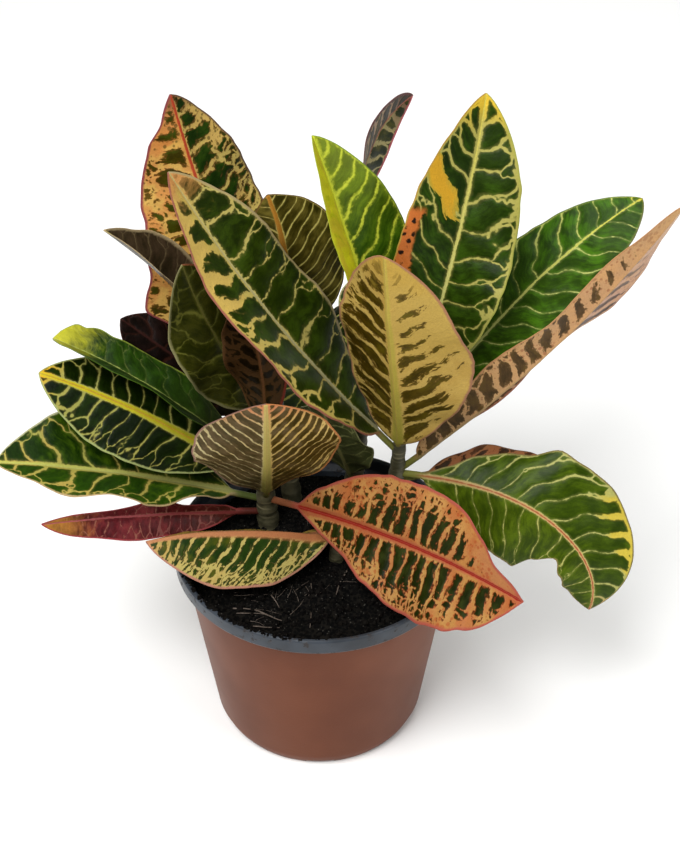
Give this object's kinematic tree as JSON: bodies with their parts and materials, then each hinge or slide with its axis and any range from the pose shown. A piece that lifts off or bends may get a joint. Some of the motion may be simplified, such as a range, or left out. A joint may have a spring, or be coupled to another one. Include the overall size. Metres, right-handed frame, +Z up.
{
  "type": "potted croton",
  "caption": "Leafy croton houseplant with broad veined leaves in green, yellow, orange and red, rooted in dark soil in a round terracotta-brown plastic nursery pot.",
  "frame": {"origin": "middle of the pot's underside, on the plane the pot stands on", "axes": "+Z up along the pot's axis, -Y towards the front of the picture, +X to the right"},
  "size_m": [0.2931, 0.2133, 0.2938],
  "materials": {
    "pot_plastic": "satin",
    "peat_soil": "matte",
    "green_bark": "matte",
    "leaf_olive": "satin",
    "leaf_fresh_green": "satin",
    "leaf_dark_green": "satin",
    "leaf_grey_green": "satin",
    "leaf_maroon": "satin",
    "leaf_golden": "satin",
    "leaf_orange": "satin",
    "leaf_bronze": "satin",
    "leaf_yellow_green": "satin",
    "leaf_brown": "satin",
    "leaf_cream_orange": "satin"
  },
  "bodies": {
    "root": {"pot": "pot_plastic", "soil": "peat_soil", "front_left_stem": "green_bark", "front_left_leaf_1": "leaf_olive", "front_left_leaf_2": "leaf_fresh_green", "front_left_leaf_3": "leaf_dark_green", "front_left_leaf_4": "leaf_grey_green", "front_left_leaf_5": "leaf_maroon", "front_left_leaf_6": "leaf_golden", "front_left_leaf_7": "leaf_orange", "right_stem": "green_bark", "right_leaf_1": "leaf_dark_green", "right_leaf_2": "leaf_golden", "right_leaf_3": "leaf_bronze", "right_leaf_4": "leaf_fresh_green", "right_leaf_5": "leaf_grey_green", "right_leaf_6": "leaf_yellow_green", "right_leaf_7": "leaf_fresh_green", "right_leaf_8": "leaf_brown", "back_left_stem": "green_bark", "back_left_leaf_1": "leaf_cream_orange", "back_left_leaf_2": "leaf_bronze", "back_left_leaf_3": "leaf_olive", "back_left_leaf_4": "leaf_maroon", "back_left_leaf_5": "leaf_brown", "back_left_leaf_6": "leaf_dark_green", "back_left_leaf_7": "leaf_dark_green", "back_left_leaf_8": "leaf_dark_green", "back_left_leaf_9": "leaf_olive", "back_right_stem": "green_bark", "back_right_leaf_1": "leaf_brown", "back_right_leaf_2": "leaf_dark_green", "back_right_leaf_3": "leaf_fresh_green", "back_right_leaf_4": "leaf_olive", "back_right_leaf_5": "leaf_dark_green", "middle_stem": "green_bark", "middle_leaf_1": "leaf_orange"}
  },
  "joints": []
}
